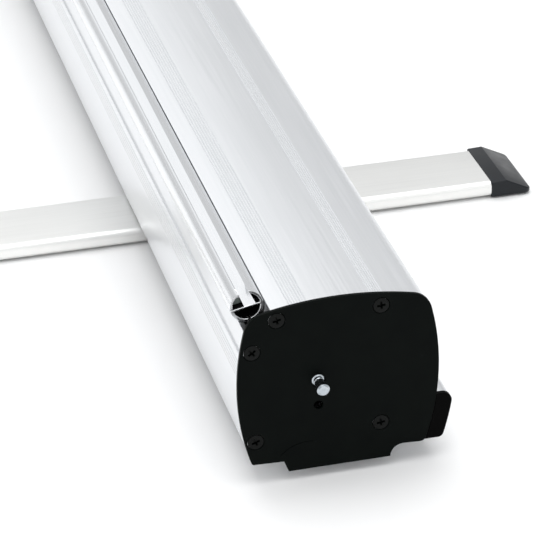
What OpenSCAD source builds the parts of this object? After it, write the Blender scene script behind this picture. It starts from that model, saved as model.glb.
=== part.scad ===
// Roll-up banner stand, ready to be opened: the banner is wound up inside the casing, the
// round top rail sits in its slot and the two feet are swung out.
// X runs along the banner's width, -Y is the front and +Z is up. The origin is on the floor,
// under the middle of the casing. Millimetres.

/* [Casing] */
// Width of the banner film
film_w = 1000; // [600:10:1500]
// Width of the casing across its bowed sides
case_w = 97.8; // [92:0.1:120]
// Height of the crown of the casing above the floor
case_top = 95.9; // [90:0.1:116]
// Wall of the casing extrusions
case_wall = 1.8; // [1.5:0.1:2.2]
// Radius of the two upper corners
corner_r = 11; // [9:0.5:13.5]
// How far the end plates stand proud of the extrusions
plate_proud = 0.8; // [0.5:0.1:1.2]
// Thickness of the steel end plates
plate_t = 2; // [1.5:0.1:3]
// Drop of the tab below each end plate
tab_drop = 5.8; // [4:0.1:8]

/* [Roller] */
// Height of the roller's axis above the floor
axis_z = 52.6; // [48:0.1:60]
// Distance of the roller's axis in front of the middle
axis_y = 9.9; // [6:0.1:14]
// Outer radius of the roller tube
tube_r = 16; // [14:0.5:19.5]
// Radius of the film wound on the tube
roll_r = 21; // [20.5:0.5:25.5]
// Radius of the tension pin
pin_r = 3.1; // [2.5:0.1:3.8]
// Distance that the tension pin stands out of its end plate
pin_out = 9.5; // [6:0.5:14]
// Distance from the roller's axis down to the lock hole
lock_drop = 13.1; // [11:0.1:14.5]

/* [Top rail] */
// Outer radius of the round top rail
rail_r = 8.1; // [6.8:0.1:9.7]
// Wall of the top rail
rail_wall = 1.3; // [1:0.1:1.6]
// Angle by which the rail lies rolled towards the front
rail_tilt = 11.5; // [0:0.5:20]

/* [Feet] */
// Length of a foot over its end caps
foot_len = 367; // [300:1:440]
// Width of the flat foot bar
foot_w = 45; // [36:1:54]
// Thickness of the foot bar
foot_t = 9; // [7.5:0.5:11]
// Distance from the casing's end to a foot's pivot
foot_inset = 275; // [230:1:330]

/* [Support pole] */
// Radius of the pole's lower tube
pole_r = 6.5; // [5.4:0.1:7.8]
// Length of the folded pole's lower tube
pole_len = 720; // [500:10:864]

/* [Hidden] */
$fn = 64;

run_fit = 0.05;        // radial gap of a shaft that turns in its hole
gap = 0.3;             // gap between pieces that move past each other
slack = 0.1;           // gap around pieces that only lie against each other
skin = plate_proud;    // inset of the extrusions' outer face from the plate's edge
inner = skin + case_wall;

// Heights from the floor up
pad_t = 1;
bar_top = pad_t + foot_t;
case_base = bar_top + 1;

// Casing outline: two bowed sides, an arched top and round corners
half_w = case_w / 2;
side_r = 130;
side_z = case_base + 41;
top_r = 170;
base_r = 3;
side_c = [half_w - side_r, side_z];
top_c = [0, case_top - top_r];

function bearing(v) = atan2(v[1], v[0]);
function polar(c, r, a) = c + r * [cos(a), sin(a)];
function arc(c, r, a0, a1, n) = [for (k = [0:n - 1]) polar(c, r, a0 + (a1 - a0) * k / n)];
function flip(p) = [for (k = [len(p) - 1:-1:0]) [-p[k][0], p[k][1]]];

// Centre of the upper corner, which touches the side's arc and the top's arc from inside
corner_c = let (
    ra = side_r - corner_r,
    rb = top_r - corner_r,
    d = norm(top_c - side_c),
    u = (top_c - side_c) / d,
    k = (ra * ra - rb * rb + d * d) / (2 * d))
    side_c + k * u + sqrt(ra * ra - k * k) * [-u[1], u[0]];
side_end = bearing(corner_c - side_c);
top_end = bearing(corner_c - top_c);

// Right half of the outline, from the underside to the crown, at an inset from the plate's edge
function half_outline(i) = let (
    rb = max(base_r - i, 0.4),
    rs = side_r - i - rb,
    ab = asin((case_base + i + rb - side_z) / rs))
    concat(
        arc(polar(side_c, rs, ab), rb, -90, ab, 6),
        arc(side_c, side_r - i, ab, side_end, 20),
        arc(corner_c, corner_r - i, side_end, top_end, 12),
        arc(top_c, top_r - i, top_end, 90, 16));
function outline(i) = concat(half_outline(i), [[0, case_top - i]], flip(half_outline(i)));
function side_y(i, z) = side_c[0] + sqrt(pow(side_r - i, 2) - pow(z - side_z, 2));
function top_z(i, y) = top_c[1] + sqrt(pow(top_r - i, 2) - y * y);

// Places along X
half_len = film_w / 2 + 17;
shell_end = half_len - plate_t;
rail_end = shell_end - 11;
film_end = film_w / 2;
block_end = shell_end - 4;
block_t = 9;
pivot_x = half_len - foot_inset;
roller_c = [-axis_y, axis_z];

module along_x(x0, x1) translate([x0, 0, 0]) rotate([90, 0, 90]) linear_extrude(x1 - x0) children();
module rod(c, r, x0, x1) translate([x0, c[0], c[1]]) rotate([0, 90, 0]) cylinder(r = r, h = x1 - x0);
module tube(c, r, bore, x0, x1) difference() {
    rod(c, r, x0, x1);
    rod(c, bore, x0 - 1, x1 + 1);
}
module ring(i0, i1) difference() {
    polygon(outline(i0));
    polygon(outline(i1));
}
module window(y0, y1, z0, z1) translate([y0, z0]) square([y1 - y0, z1 - z0]);
module far_side() mirror([1, 0, 0]) children();

/* Casing: a base shell and a top shell, both extruded */
port_r = 3.5;
screw_r = 1.5;
head_r = 3.9;
screws = [[8.4 - half_w, case_base + 13], [20.5, case_base + 13.9], [7.4 - half_w, side_z + 20.3],
    [-29.5, top_z(0, 29.5) - 5.7], [20.5, top_z(0, 20.5) - 6.6]];

joint_z = side_z - 8;
// The docked rail lies in a round seat, its axis just inside the front upper corner's outline
rail_c = polar([-corner_c[0], corner_c[1]], corner_r - 0.1, 124.5);
seat_r = rail_r + 0.6;
slot_y = rail_c[0] + 2.4;

flank_grooves = [for (k = [0:4]) side_z + 6.5 + 2 * k];
crown_grooves = concat([for (k = [0:6]) -22.8 + 1.35 * k], [for (k = [0:5]) 15.6 + 1.15 * k]);
groove_d = 0.35;
groove_w = 0.5;

module rail_way() {
    translate(rail_c) circle(r = seat_r);
    translate([rail_c[0] - 20, rail_c[1]]) square([20 + rail_r + 0.5, 30]);
}
module top_region() window(slot_y, 120, joint_z, 150);
module ports(list) for (k = list) translate(screws[k]) circle(r = port_r);
module port_holes(list) for (k = list) translate(screws[k]) circle(r = screw_r);

module base_section() difference() {
    union() {
        difference() {
            ring(skin, inner);
            top_region();
        }
        intersection() {
            ring(skin, inner + 1.2);
            window(-60, slot_y, side_z + 24, 100);
        }
        ports([0, 1, 2]);
        translate([screws[1][0] - 1, case_base + 1]) square([2, 10]);
    }
    rail_way();
    port_holes([0, 1, 2]);
    intersection() {
        ring(skin - 0.5, skin + 0.6);
        window(-60, -30, side_z + 18.5, side_z + 26);
    }
    for (z = flank_grooves)
        translate([-side_y(skin, z) - 1, z]) square([1 + groove_d, groove_w]);
}

module top_section() difference() {
    union() {
        intersection() {
            ring(skin, inner);
            window(slot_y, 120, joint_z + 0.2, 150);
        }
        intersection() {
            ring(inner + slack, inner + slack + 1.3);
            window(0, 80, joint_z - 8, joint_z + 8);
        }
        intersection() {
            ring(skin + 0.6, inner + slack + 0.5);
            window(0, 80, joint_z + 1, joint_z + 8);
        }
        intersection() {
            ring(skin, inner + 0.9);
            window(slot_y, rail_c[0] + rail_r + 5, rail_c[1], 150);
        }
        ports([3, 4]);
        translate([screws[4][0] - 1, screws[4][1]]) square([2, 5]);
    }
    rail_way();
    port_holes([3, 4]);
    for (y = crown_grooves)
        translate([y, top_z(skin, y) - groove_d]) square([groove_w, 1]);
}

module base_shell() color("silver") difference() {
    along_x(-shell_end, shell_end) base_section();
    for (s = [-1, 1])
        translate([s * pivot_x, 0, case_base - 1]) cylinder(r = bolt_r + 0.2, h = 5);
}
module top_shell() color("silver") difference() {
    along_x(-shell_end, shell_end) top_section();
    socket_screw_places() screw_hole(20);
}

/* Rear rail: a narrow box along the casing's rear lower edge, closed by two black caps */
rail_out = 8.5;
rear_top = case_base + 24;
rear_bottom = case_base + 0.3;
rear_wall = 1.5;
rear_r = 4.2;

// Outline of the rear rail, inset by i; its inner side follows the casing
function rear_outline(i) = let (
    o = i - rail_out,
    rt = rear_r - i,
    rb = max(rear_r - 1.7 - i, 0.4),
    zt = rear_top - i,
    zb = rear_bottom + i,
    ct = [side_y(o + rt, zt - rt), zt - rt],
    cb = [side_y(o + rb, zb + rb), zb + rb],
    at = bearing(ct - side_c),
    ab = bearing(cb - side_c),
    w = skin - slack - i,
    a0 = asin((zt - side_z) / (side_r - w)),
    a1 = asin((zb - side_z) / (side_r - w)))
    concat(
        arc(cb, rb, -90, ab, 6),
        arc(side_c, side_r - o, ab, at, 8),
        arc(ct, rt, at, 90, 8),
        [[ct[0], zt]],
        arc(side_c, side_r - w, a0, a1, 8),
        [polar(side_c, side_r - w, a1)]);
cap_t = 3;
cap_out = shell_end + 1;

module rear_rail() color("silver") difference() {
    along_x(-cap_out + cap_t, cap_out - cap_t) difference() {
        polygon(rear_outline(0));
        polygon(rear_outline(rear_wall));
    }
    cradle_screw_places() screw_hole(cradle_screw_l);
}
module rear_cap_near() color("black") {
    along_x(cap_out - cap_t, cap_out) difference() {
        polygon(rear_outline(0));
        polygon(outline(-slack));
    }
    along_x(cap_out - cap_t - 12, cap_out - cap_t) polygon(rear_outline(rear_wall + slack));
}
module rear_cap_far() far_side() rear_cap_near();

/* End plates, their countersunk cross-head screws and the blocks behind them */
tab_y0 = -26.9;
tab_y1 = 31.5;
notch_r = 6.2;

module plate_outline() {
    polygon(outline(0));
    difference() {
        polygon([[tab_y0, case_base + 1], [tab_y0 + 2.2, case_base - tab_drop],
            [tab_y1, case_base - tab_drop], [tab_y1, case_base + 1]]);
        translate([tab_y1, case_base - tab_drop]) circle(r = notch_r);
    }
}
module end_plate_near() color([0.06, 0.07, 0.07]) difference() {
    along_x(shell_end, half_len) plate_outline();
    rod(roller_c, pin_r + 0.2, shell_end - 1, half_len + 1);
    rod(roller_c - [0, lock_drop], lock_r, shell_end - 1, half_len + 1);
    for (p = screws) countersink(p, screw_r + 0.1, head_r + 0.1);
}
module end_plate_far() far_side() end_plate_near();

sink_t = 1.7;
module countersink(p, shank, head) translate([half_len, p[0], p[1]]) rotate([0, -90, 0]) {
    translate([0, 0, -0.01]) cylinder(r1 = head, r2 = shank, h = sink_t);
    translate([0, 0, sink_t - 0.02]) cylinder(r = shank, h = 12);
}
module cross_recess(p) translate([half_len, p[0], p[1]]) for (a = [0, 90])
    rotate([a + 45, 0, 0]) cube([2.2, 0.9, 4], center = true);
module plate_screws_near() color([0.08, 0.08, 0.08]) for (p = screws) difference() {
    intersection() {
        countersink(p, screw_r - 0.05, head_r);
        along_x(shell_end - 20, half_len - 0.1) polygon(outline(0));
    }
    cross_recess(p);
}
module plate_screws_far() far_side() plate_screws_near();

block_w = 34;
stud_r = 2.5;
module end_block() difference() {
    union() {
        along_x(block_end - block_t, block_end)
            window(roller_c[0] - block_w / 2, roller_c[0] + block_w / 2, case_base + inner + slack,
                top_z(inner + slack, 27) - 8);
        for (z = [-1, 1])
            rod(roller_c + [0, z * (disc_r + stud_r + 0.5)], stud_r, block_end - 1, shell_end);
    }
    rod(roller_c, pin_r + run_fit, 0, shell_end);
    for (k = [1, 4]) rod(screws[k], port_r + 0.4, 0, shell_end + 1);
}
module end_block_near() color([0.1, 0.1, 0.1]) end_block();
module end_block_far() color([0.1, 0.1, 0.1]) far_side() end_block();
module far_axle() color("silver") far_side() {
    rod(roller_c, pin_r, film_end - 30, half_len + 3);
    rod(roller_c, pin_r + 2, block_end + 0.5, shell_end - 0.3);
}

/* Tension axle: a steel pin with a grooved neck for the winding key, a lock disc and the spring's
shaft */
pin_bevel = 0.8;
lock_r = 2.25;
lock_holes = 8;
disc_r = lock_drop + lock_r + 1.4;
pin_end = half_len + pin_out;
shaft_r = 4;
shaft_end = film_end - 30;
shaft_start = 140;
flange_t = 8;
anchor_t = 10;
spring_r = 9;
wire_r = 0.9;

module tension_pin() color("silver") {
    rod(roller_c, pin_r, shaft_end, half_len - 0.3);
    rod(roller_c, pin_r - 0.7, half_len - 0.4, half_len + 1.2);
    rod(roller_c, pin_r - 1.1, half_len + 1, pin_end - 5);
    rod(roller_c, pin_r, pin_end - 5.2, pin_end - pin_bevel);
    translate([pin_end - pin_bevel - 0.01, roller_c[0], roller_c[1]]) rotate([0, 90, 0])
        cylinder(r1 = pin_r, r2 = pin_r - pin_bevel, h = pin_bevel + 0.01);
}
module lock_disc() color("silver") difference() {
    rod(roller_c, disc_r, block_end + 0.8, shell_end - 0.8);
    rod(roller_c, pin_r, block_end, shell_end);
    for (k = [0:lock_holes - 1])
        rod(polar(roller_c, lock_drop, -90 + k * 360 / lock_holes), lock_r, block_end, shell_end);
}
module spring_shaft() color("silver") {
    rod(roller_c, shaft_r, shaft_start - 8, shaft_end);
    rod(roller_c, spring_r, shaft_end - flange_t, shaft_end);
}

// Torsion spring: a round wire swept along a helix
spring_x0 = shaft_start + anchor_t + wire_r + slack;
spring_x1 = shaft_end - flange_t - wire_r - gap;
turns = 26;
steps = 12;
sides = 6;
function spring_point(k, j) = let (
    a = 360 * k / steps,
    b = 360 * j / sides,
    r = spring_r + wire_r * cos(b),
    x = spring_x0 + (spring_x1 - spring_x0) * k / (turns * steps) + wire_r * sin(b))
    [x, roller_c[0] + r * cos(a), roller_c[1] + r * sin(a)];
module torsion_spring() color("dimgray") polyhedron(
    points = [for (k = [0:turns * steps]) for (j = [0:sides - 1]) spring_point(k, j)],
    faces = concat(
        [[for (j = [sides - 1:-1:0]) j]],
        [for (k = [0:turns * steps - 1]) for (j = [0:sides - 1]) let (n = (j + 1) % sides)
            each [[k * sides + j, k * sides + n, (k + 1) * sides + n],
                [k * sides + j, (k + 1) * sides + n, (k + 1) * sides + j]]],
        [[for (j = [0:sides - 1]) turns * steps * sides + j]]));

/* Roller: an aluminium tube with the film wound on it */
tube_wall = 1.5;
module spring_anchor() color("gainsboro")
    tube(roller_c, tube_r - tube_wall - slack, shaft_r + run_fit, shaft_start, shaft_start + anchor_t);
module roller_tube() color("silver")
    tube(roller_c, tube_r, tube_r - tube_wall, -film_end, film_end);
module roller_plug() {
    tube(roller_c, tube_r - tube_wall - slack, pin_r + run_fit, film_end - 20, film_end + 0.5);
    tube(roller_c, tube_r, pin_r + run_fit, film_end + 0.4, film_end + 2);
}
module roller_plug_near() color("gainsboro") roller_plug();
module roller_plug_far() color("gainsboro") far_side() roller_plug();
module film_roll() color("white")
    tube(roller_c, roll_r, tube_r + slack, -film_end, film_end);

/* Top rail: a round rail with a hollow lower half, a web, a clamping rib and a snap jaw */
web_t = 1;
rib_foot = [-1, 4.6];       // the rib's two sides where it stands on the web
rib_top = [-2.6, 2.3];      // and where they meet the rail's outer face
rib_slope = 6.5;            // length over which the rib's ends slope down to the web
slit_w = 1.3;
jaw_bead_r = 0.9;
jaw_bead = let (a = bearing([rib_top[0], rail_r - 1]) + 4) polar([0, 0], rail_r - 0.95, a);
keder_r = 1.3;
keder_w = rail_r - rail_wall - keder_r - 0.3;

// Draws in the rail's own axes: x along its web, y up through its rib
module rail_x(x0, x1) along_x(x0, x1) translate(rail_c) rotate(rail_tilt) children();
module rail_ring(wall) difference() {
    circle(r = rail_r);
    circle(r = rail_r - wall);
}
module rib() intersection() {
    circle(r = rail_r - 0.15);
    polygon([[rib_foot[0], -0.1], [rib_foot[1], -0.1], [rib_top[1], rail_r], [rib_top[0], rail_r]]);
}
module rail_section() difference() {
    union() {
        intersection() {
            rail_ring(rail_wall + 0.2);
            translate([-20, -20]) square([40, 20]);
        }
        intersection() {
            circle(r = rail_r);
            translate([-20, -web_t]) square([40, web_t]);
        }
        intersection() {
            rail_ring(rail_wall);
            polygon([[0, -0.1], [20, -0.1], [20, 20], 2.6 * [rib_top[1], rail_r]]);
        }
    }
    translate([-slit_w / 2, -20]) square([slit_w, 19]);
    translate(jaw_bead) circle(r = jaw_bead_r + run_fit);
}
module rib_section() difference() {
    rib();
    translate(jaw_bead) circle(r = jaw_bead_r + run_fit);
}
module rib_ends() translate([0, rail_c[0], rail_c[1]]) rotate([rail_tilt + 90, 0, 0])
    linear_extrude(4 * rail_r, center = true) polygon([[-rail_end, -web_t / 2], [rail_end, -web_t / 2],
        [rail_end - rib_slope, rail_r], [rib_slope - rail_end, rail_r]]);
module jaw_section() {
    difference() {
        rail_ring(rail_wall);
        translate([-20, -20]) square([40, 20 + gap]);
        polygon([[0, 0], jaw_bead, jaw_bead * 3, [30, 30], [30, 0]]);
    }
    translate(jaw_bead) circle(r = jaw_bead_r);
}
module plug_section() difference() {
    circle(r = rail_r - rail_wall - gap);
    translate([-20, -20]) square([40, 20 + slack]);
    translate([-slack, 0]) polygon([[rib_foot[0], 0], [20, 0], [20, 20], [rib_top[0], rail_r]]);
    translate(jaw_bead) circle(r = jaw_bead_r + gap);
}
module lower_cover_section() intersection() {
    circle(r = rail_r - rail_wall - 0.2 - slack);
    translate([-20, -20]) square([40, 20 - web_t - slack]);
}
module lower_plug_section() difference() {
    lower_cover_section();
    translate([0, -keder_w]) circle(r = keder_r + slack);
    translate([-slit_w / 2, -20]) square([slit_w, 20 - keder_w]);
}
module rail_body() color("silver") {
    rail_x(-rail_end, rail_end) rail_section();
    intersection() {
        rail_x(-rail_end, rail_end) rib_section();
        rib_ends();
    }
}
module rail_jaw() color("silver") rail_x(-rail_end, rail_end) jaw_section();
module rail_plugs_near() color("dimgray") {
    rail_x(rail_end - 15, rail_end - 3) plug_section();
    rail_x(rail_end - 15, film_end + gap + 0.1) lower_plug_section();
    rail_x(film_end + gap, rail_end - 1.5) lower_cover_section();
}
module rail_plugs_far() far_side() rail_plugs_near();
module hem_bead() color("white")
    rail_x(-film_end, film_end) translate([0, -keder_w]) circle(r = keder_r);

// The free stretch of film, from the bead in the rail to the top of the roll
film_t = 0.4;
rail_down = [sin(rail_tilt), -cos(rail_tilt)];
film_knee = [rail_c[0] + 2.6, rail_c[1] - rail_r - 4.5];
film_touch = let (
    v = film_knee - roller_c,
    r = roll_r + film_t / 2 + 0.05)
    polar(roller_c, r, bearing(v) - acos(r / norm(v)));
function strip(p) = let (
    n = len(p) - 1,
    side = [for (k = [0:n]) let (d = p[min(k + 1, n)] - p[max(k - 1, 0)], u = d / norm(d))
        film_t / 2 * [-u[1], u[0]]])
    concat([for (k = [0:n]) p[k] + side[k]], [for (k = [n:-1:0]) p[k] - side[k]]);
module banner_film() color("white") along_x(-film_end, film_end) polygon(strip([
    rail_c + (keder_w + keder_r + 0.05) * rail_down,
    rail_c + (rail_r + 1) * rail_down,
    film_knee,
    film_touch]));

/* Feet: flat aluminium bars that swing on a bolt under the casing */
cap_len = 23.5;
bar_half = foot_len / 2 - cap_len;
bar_wall = 1.7;
bolt_r = 4;
hub_r = 8.5;
hub_half = 35;
bolt_head_t = 3;

// Rounded bar section, w wide and t thick
module pill(w, t, r) {
    translate([-w / 2 + r, 0]) square([w - 2 * r, t]);
    translate([-w / 2, r]) square([w, t - 2 * r]);
    for (s = [-1, 1])
        for (z = [r, t - r])
            translate([s * (w / 2 - r), z]) circle(r = r);
}
module along_foot(y0, y1) translate([pivot_x, y1, 0]) rotate([90, 0, 0]) linear_extrude(y1 - y0) children();
module at_pivot(z) translate([pivot_x, 0, z]) children();

module foot_bar() difference() {
    along_foot(-bar_half, bar_half) difference() {
        translate([0, pad_t]) pill(foot_w, foot_t, 3.4);
        translate([0, pad_t + bar_wall]) pill(foot_w - 2 * bar_wall, foot_t - 2 * bar_wall, 1.9);
    }
    at_pivot(0) cylinder(r = hub_r, h = pad_t + bar_wall + 0.5);
    at_pivot(pad_t) cylinder(r = bolt_r + run_fit, h = foot_t + 1);
}
module foot_hub() difference() {
    along_foot(-hub_half, hub_half) translate([0, pad_t + bar_wall + slack])
        pill(foot_w - 2 * bar_wall - 2 * slack, foot_t - 2 * bar_wall - 2 * slack, 1.8);
    at_pivot(0) cylinder(r = hub_r, h = pad_t + bolt_head_t + 0.6);
    at_pivot(0) cylinder(r = bolt_r + run_fit, h = 20);
}
cap_corner_r = 6;
ridge_z = bar_top + 0.6;
module foot_cap() {
    intersection() {
        translate([pivot_x - foot_w, 0, 0]) rotate([90, 0, 90]) linear_extrude(2 * foot_w)
            polygon([[bar_half, pad_t], [bar_half + cap_len - 3, pad_t], [bar_half + cap_len, pad_t + 1],
                [bar_half + cap_len, pad_t + 2.2], [bar_half + 8.5, ridge_z], [bar_half, bar_top + 0.2]]);
        hull() {
            cap_corners(3.5, bar_half - 3);
            cap_corners(cap_corner_r, bar_half + cap_len - cap_corner_r);
        }
    }
    along_foot(bar_half - 14, bar_half + 0.1) translate([0, pad_t + bar_wall + slack])
        pill(foot_w - 2 * bar_wall - 2 * slack, foot_t - 2 * bar_wall - 2 * slack, 1.8);
}
module cap_corners(r, y) for (s = [-1, 1])
    translate([pivot_x + s * (foot_w / 2 + 0.3 - r), y, 0]) cylinder(r = r, h = 20, $fn = 32);
module foot_caps() for (a = [0, 180]) turned(a) foot_cap();
module turned(a) translate([pivot_x, 0, 0]) rotate(a) translate([-pivot_x, 0, 0]) children();
module foot_pads() for (a = [0, 180]) turned(a)
    translate([pivot_x, bar_half + 7, 0]) cylinder(r = 5, h = pad_t);
module foot_bolt() {
    at_pivot(pad_t + 0.2) cylinder(r = hub_r - 0.5, h = bolt_head_t);
    at_pivot(pad_t + 0.2) cylinder(r = bolt_r, h = case_base + inner + 7 - pad_t);
}
module foot_washer() at_pivot(bar_top + slack) difference() {
    cylinder(r = 13, h = case_base + skin - bar_top - 2 * slack);
    translate([0, 0, -1]) cylinder(r = bolt_r + 0.2, h = 5);
}
module nut_plate() at_pivot(case_base + inner + slack) difference() {
    translate([-20, -14, 0]) cube([40, 28, 4]);
    translate([0, 0, -1]) cylinder(r = bolt_r + 0.05, h = 6);
}
module foot_bar_near() color("silver") foot_bar();
module foot_bar_far() color("silver") far_side() foot_bar();
module foot_hub_near() color("gainsboro") foot_hub();
module foot_hub_far() color("gainsboro") far_side() foot_hub();
module foot_caps_near() color([0.13, 0.15, 0.17]) foot_caps();
module foot_caps_far() color([0.13, 0.15, 0.17]) far_side() foot_caps();
module foot_pads_near() color("black") foot_pads();
module foot_pads_far() color("black") far_side() foot_pads();
module foot_bolt_near() color("dimgray") foot_bolt();
module foot_bolt_far() color("dimgray") far_side() foot_bolt();
module foot_washer_near() color("black") foot_washer();
module foot_washer_far() color("black") far_side() foot_washer();
module nut_plate_near() color("silver") nut_plate();
module nut_plate_far() color("silver") far_side() nut_plate();

/* Support pole: three nested tubes, stowed in two cradles behind the rear rail */
cradle_t = 1.5;
cradle_w = 16;
cradle_pad = 2;
cradle_x = 205;
pole_z = case_base + 8.6;
pole_y = side_y(-rail_out, pole_z) + cradle_t + gap + pole_r;
pole_c = [pole_y, pole_z];
cradle_open = 40;      // bearing of the cradle's mouth above the horizontal, towards the rear
cradle_top = rear_top - 2.4;
cradle_screw_z = cradle_top - 3.2;
cradle_screw_l = 7;
pole_wall = 0.8;
nest = pole_wall + 0.4;
mid_r = pole_r - nest;
tip_r = mid_r - nest;
pole_x0 = -pole_len / 2;
pole_x1 = pole_len / 2;

module cradle_section() difference() {
    union() {
        difference() {
            translate(pole_c) circle(r = pole_r + gap + cradle_t);
            translate(pole_c) rotate(cradle_open) translate([0, -30]) square([60, 60]);
        }
        intersection() {
            polygon(outline(-rail_out - cradle_pad));
            window(40, 80, rear_bottom + 2, cradle_top);
        }
    }
    polygon(outline(-rail_out - slack / 2));
    translate(pole_c) circle(r = pole_r + gap);
}
module pole_cradles() color("black") difference() {
    for (s = [-1, 1])
        along_x(s * cradle_x - cradle_w / 2, s * cradle_x + cradle_w / 2) cradle_section();
    cradle_screw_places() screw_hole(cradle_screw_l);
}

// Pan-head screw along -Y, with the underside of its head at the origin
pan_r = 2.8;
pan_t = 1.6;
module pan_screw(length) rotate([90, 0, 0]) {
    translate([0, 0, -0.01]) cylinder(r = screw_r - 0.05, h = length);
    difference() {
        translate([0, 0, -pan_t]) cylinder(r = pan_r, h = pan_t);
        for (a = [0, 90]) rotate(a) translate([-1.1, -0.4, -pan_t - 1]) cube([2.2, 0.8, 2]);
    }
}
// Hole for it, with a flat seat for the head
module screw_hole(depth) rotate([90, 0, 0]) {
    translate([0, 0, -1]) cylinder(r = screw_r, h = depth + 1);
    translate([0, 0, -10]) cylinder(r = pan_r + gap, h = 10);
}
module cradle_screw_places() for (s = [-1, 1])
    translate([s * cradle_x, side_y(-rail_out - cradle_pad, cradle_screw_z), cradle_screw_z]) children();
module cradle_screws() color("silver") cradle_screw_places() pan_screw(cradle_screw_l - 0.5);

socket_z0 = joint_z + 6;
socket_z1 = joint_z + 34;
socket_mid = (socket_z0 + socket_z1) / 2;
socket_bore = 24;
socket_y = half_w + pole_r + 5;
module pole_socket() color("black") difference() {
    intersection() {
        union() {
            translate([0, socket_y, socket_z0]) cylinder(r = pole_r + 4, h = socket_z1 - socket_z0);
            translate([-pole_r - 4, 0, socket_z0]) cube([2 * pole_r + 8, socket_y, socket_z1 - socket_z0]);
            along_x(-pole_r - 17, pole_r + 17) intersection() {
                polygon(outline(-3));
                window(30, 80, socket_z0, socket_z1);
            }
        }
        along_x(-60, 60) window(30, 90, socket_z0, socket_z1);
    }
    along_x(-60, 60) polygon(outline(skin - slack / 2));
    translate([0, socket_y, socket_z1 - socket_bore]) cylinder(r = pole_r + slack, h = 60);
    socket_screw_places() screw_hole(20);
}
module socket_screw_places() for (s = [-1, 1])
    translate([s * (pole_r + 11), side_y(-3, socket_mid), socket_mid]) children();
module socket_screws() color("silver") socket_screw_places() pan_screw(9);

module pole_lower() color("silver") tube(pole_c, pole_r, pole_r - pole_wall, pole_x0, pole_x1);
module pole_middle() color("silver") tube(pole_c, mid_r, mid_r - pole_wall, pole_x0 + 8, pole_x1 + 12);
module pole_upper() color("silver") tube(pole_c, tip_r, tip_r - pole_wall, pole_x0 + 16, pole_x1 + 26);
module pole_collars() color("black")
    tube(pole_c, pole_r - pole_wall - 0.05, mid_r + run_fit, pole_x1 - 10, pole_x1 - 0.5);
module pole_foot() color("black") {
    rod(pole_c, pole_r - pole_wall - slack, pole_x0 - 0.1, pole_x0 + 6);
    rod(pole_c, pole_r, pole_x0 - 4, pole_x0);
}
module pole_hook() color("black") {
    rod(pole_c, tip_r + 0.6, pole_x1 + 26, pole_x1 + 34);
    difference() {
        along_x(pole_x1 + 33, pole_x1 + 37)
            translate([pole_c[0] - 4.5, pole_c[1] - 5]) square([9, 17]);
        rod(pole_c + [0, 12], 4, pole_x1 + 30, pole_x1 + 40);
    }
}

base_shell();
top_shell();
rear_rail();
rear_cap_near();
rear_cap_far();
end_plate_near();
end_plate_far();
plate_screws_near();
plate_screws_far();
end_block_near();
end_block_far();
far_axle();
tension_pin();
lock_disc();
spring_shaft();
torsion_spring();
spring_anchor();
roller_tube();
roller_plug_near();
roller_plug_far();
film_roll();
rail_body();
rail_plugs_near();
rail_plugs_far();
hem_bead();
banner_film();
rail_jaw();
foot_bar_near();
foot_bar_far();
foot_hub_near();
foot_hub_far();
foot_caps_near();
foot_caps_far();
foot_pads_near();
foot_pads_far();
foot_bolt_near();
foot_bolt_far();
foot_washer_near();
foot_washer_far();
nut_plate_near();
nut_plate_far();
pole_socket();
socket_screws();
pole_cradles();
cradle_screws();
pole_lower();
pole_middle();
pole_upper();
pole_collars();
pole_foot();
pole_hook();
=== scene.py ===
import math
import random

import bmesh
import bpy
from mathutils import Matrix, Vector
from mathutils.geometry import tessellate_polygon


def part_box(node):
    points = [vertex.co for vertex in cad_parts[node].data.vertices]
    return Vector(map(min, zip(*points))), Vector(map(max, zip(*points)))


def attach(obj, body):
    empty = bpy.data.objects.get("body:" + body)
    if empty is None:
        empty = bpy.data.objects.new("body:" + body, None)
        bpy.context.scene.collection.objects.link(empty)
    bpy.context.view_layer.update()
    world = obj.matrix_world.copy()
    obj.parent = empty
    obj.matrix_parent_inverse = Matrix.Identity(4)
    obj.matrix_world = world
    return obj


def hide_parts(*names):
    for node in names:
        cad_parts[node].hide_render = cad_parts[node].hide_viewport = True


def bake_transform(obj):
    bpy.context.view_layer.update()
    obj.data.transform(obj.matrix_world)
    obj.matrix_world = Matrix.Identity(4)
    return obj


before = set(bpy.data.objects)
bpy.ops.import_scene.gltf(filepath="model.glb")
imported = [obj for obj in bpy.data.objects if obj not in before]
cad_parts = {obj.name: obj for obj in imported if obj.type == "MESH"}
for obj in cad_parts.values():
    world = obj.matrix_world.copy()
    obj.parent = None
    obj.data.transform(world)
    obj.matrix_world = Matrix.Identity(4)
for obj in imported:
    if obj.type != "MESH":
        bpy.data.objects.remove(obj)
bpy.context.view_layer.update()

mm = 0.001
random.seed(4)


# ---- small helpers for nodes, meshes and pieces

def linear(hexColour):
    # sRGB hex to the linear colour that the shaders want
    parts = [int(hexColour[k:k + 2], 16) / 255 for k in (1, 3, 5)]
    return tuple(c / 12.92 if c <= 0.04045 else ((c + 0.055) / 1.055) ** 2.4 for c in parts) + (1.0,)


def addNode(tree, kind, settings=None, links=None):
    # settings go on the node or on its unlinked sockets, links join its sockets to earlier nodes
    node = tree.nodes.new(kind)
    for key, value in (settings or {}).items():
        if isinstance(key, str) and hasattr(node, key):
            setattr(node, key, value)
        else:
            node.inputs[key].default_value = value
    for key, source in (links or {}).items():
        tree.links.new(source, node.inputs[key])
    return node


def newMaterial(name, **sockets):
    material = bpy.data.materials.new(name)
    material.use_nodes = True
    tree = material.node_tree
    shader = tree.nodes["Principled BSDF"]
    for socket, value in sockets.items():
        shader.inputs[socket.replace("_", " ")].default_value = value
    place = addNode(tree, "ShaderNodeTexCoord").outputs["Object"]
    return material, tree, shader, place


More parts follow.
